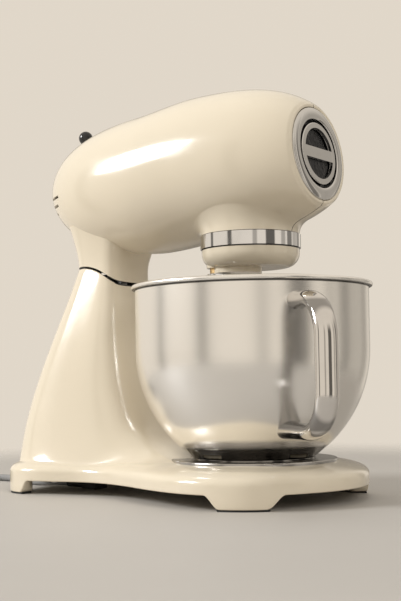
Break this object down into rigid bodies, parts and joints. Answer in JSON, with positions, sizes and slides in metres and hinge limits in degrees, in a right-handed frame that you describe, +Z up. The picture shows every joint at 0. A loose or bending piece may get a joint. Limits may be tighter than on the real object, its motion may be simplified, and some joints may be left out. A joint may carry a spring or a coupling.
{
  "type": "stand mixer",
  "caption": "Tilt-head kitchen stand mixer: cream painted stand and bullet-shaped head, chrome trim, steel bowl with a loop handle, geared planetary drive.",
  "frame": {"origin": "point on the worktop, midway between the heel of the stand and the outside of the bowl handle", "axes": "+X towards the nose, +Y to the mixer's left, +Z up"},
  "size_m": [0.5972, 0.222, 0.3766],
  "materials": {
    "cream_paint": "glossy cream enamel",
    "chrome": "polished chrome plate",
    "bowl_steel": "polished stainless steel with fine lathe lines",
    "handle_steel": "mirror polished stainless steel",
    "spindle_steel": "ground stainless steel",
    "gear_steel": "cut and oiled steel",
    "lamination": "varnished electrical steel",
    "bearing_steel": "zinc plated or ground steel",
    "cast_alloy": "die-cast zinc and aluminium alloy",
    "bronze": "sintered bronze",
    "copper": "enamelled copper",
    "black_plastic": "black moulded plastic",
    "button_chrome": "polished chrome plate",
    "circuit_board": "green laminate",
    "foot_rubber": "black rubber",
    "cord_grey": "grey flexible sheath"
  },
  "bodies": {
    "base": {"stand_casting": "cream_paint", "base_cover": "black_plastic", "base_cover_screws": "bearing_steel", "rubber_feet": "foot_rubber", "bowl_lock_plate": "handle_steel", "lock_plate_screws": "bearing_steel", "tilt_hinge_pin": "bearing_steel", "cord_gland": "cord_grey", "power_cord": "cord_grey", "cord_coil": "cord_grey", "power_plug": "cord_grey", "button_spring": "bearing_steel"},
    "release": {"release_button": "button_chrome", "latch_bar": "cast_alloy"},
    "head": {"neck_casting": "cream_paint", "hinge_bushes": "bronze", "tilt_quadrant": "cast_alloy", "housing_screws": "bearing_steel", "head_shell_right": "cream_paint", "head_shell_left": "cream_paint", "shell_screws": "bearing_steel", "nose_ring": "chrome", "planetary_band": "chrome", "gear_housing": "cast_alloy", "ring_gear": "gear_steel", "main_bearings": "bearing_steel", "planet_bearings": "bearing_steel", "countershaft_bushes": "bronze", "motor_stator": "lamination", "field_coils": "copper", "motor_end_frame": "cast_alloy", "motor_bearings": "bearing_steel", "brush_holders": "black_plastic", "control_board": "circuit_board", "speed_track": "black_plastic"},
    "hub_cap": {"hub_cover": "chrome"},
    "speed_control": {"speed_slider": "black_plastic", "speed_knob": "black_plastic"},
    "armature": {"motor_shaft": "gear_steel", "motor_rotor": "lamination", "commutator": "copper", "cooling_fan": "black_plastic"},
    "layshaft": {"countershaft": "gear_steel", "countershaft_wheel": "gear_steel"},
    "drive_shaft": {"main_shaft": "gear_steel", "output_wheel": "gear_steel", "bevel_pinion": "gear_steel"},
    "planet_carrier": {"bevel_gear": "gear_steel", "planet_shaft": "gear_steel", "planetary_cap": "cream_paint", "spindle_bushes": "bronze"},
    "spindle": {"beater_spindle": "spindle_steel", "planet_pinion": "gear_steel", "spindle_cross_pin": "spindle_steel"},
    "bowl": {"mixing_bowl": "bowl_steel", "bowl_foot_ring": "bowl_steel", "bowl_handle": "handle_steel"}
  },
  "joints": [
    {"name": "head_tilt", "type": "hinge", "parent": "base", "child": "head", "pos_m": [-0.12011, 0, 0.237], "axis": [0, -1, 0], "range_deg": [0, 36]},
    {"name": "release_press", "type": "slide", "parent": "base", "child": "release", "axis": [1, 0, 0], "range_m": [0, 0.005], "stiffness_N_per_m": 600, "springref_m": -0.003, "deforming": ["button_spring"]},
    {"name": "hub_cover_pull", "type": "slide", "parent": "head", "child": "hub_cap", "axis": [0.9959, 0, 0.0906], "range_m": [0, 0.04]},
    {"name": "speed_slide", "type": "slide", "parent": "head", "child": "speed_control", "axis": [0.9563, 0, 0.2924], "range_m": [0, 0.04]},
    {"name": "carrier_spin", "type": "hinge", "parent": "head", "child": "planet_carrier", "pos_m": [0.06389, 0, 0.25], "axis": [0, 0, 1], "continuous": true},
    {"name": "spindle_spin", "type": "hinge", "parent": "planet_carrier", "child": "spindle", "pos_m": [0.0404, -0.01764, 0.2], "axis": [0, 0, 1], "continuous": true},
    {"name": "drive_shaft_spin", "type": "hinge", "parent": "head", "child": "drive_shaft", "pos_m": [0.06389, 0, 0.3076], "axis": [1, 0, 0], "continuous": true},
    {"name": "layshaft_spin", "type": "hinge", "parent": "head", "child": "layshaft", "pos_m": [-0.01611, 0, 0.2836], "axis": [1, 0, 0], "continuous": true},
    {"name": "armature_spin", "type": "hinge", "parent": "head", "child": "armature", "pos_m": [-0.06611, 0, 0.3076], "axis": [1, 0, 0], "continuous": true},
    {"name": "bowl_twist", "type": "hinge", "parent": "base", "child": "bowl", "pos_m": [0.06389, 0, 0.033], "axis": [0, 0, 1], "range_deg": [0, 25]}
  ],
  "couplings": [
    {"joint": "spindle_spin", "follows": "carrier_spin", "ratio": -4.1333},
    {"joint": "drive_shaft_spin", "follows": "carrier_spin", "ratio": -2},
    {"joint": "layshaft_spin", "follows": "carrier_spin", "ratio": 6},
    {"joint": "armature_spin", "follows": "carrier_spin", "ratio": -18}
  ]
}
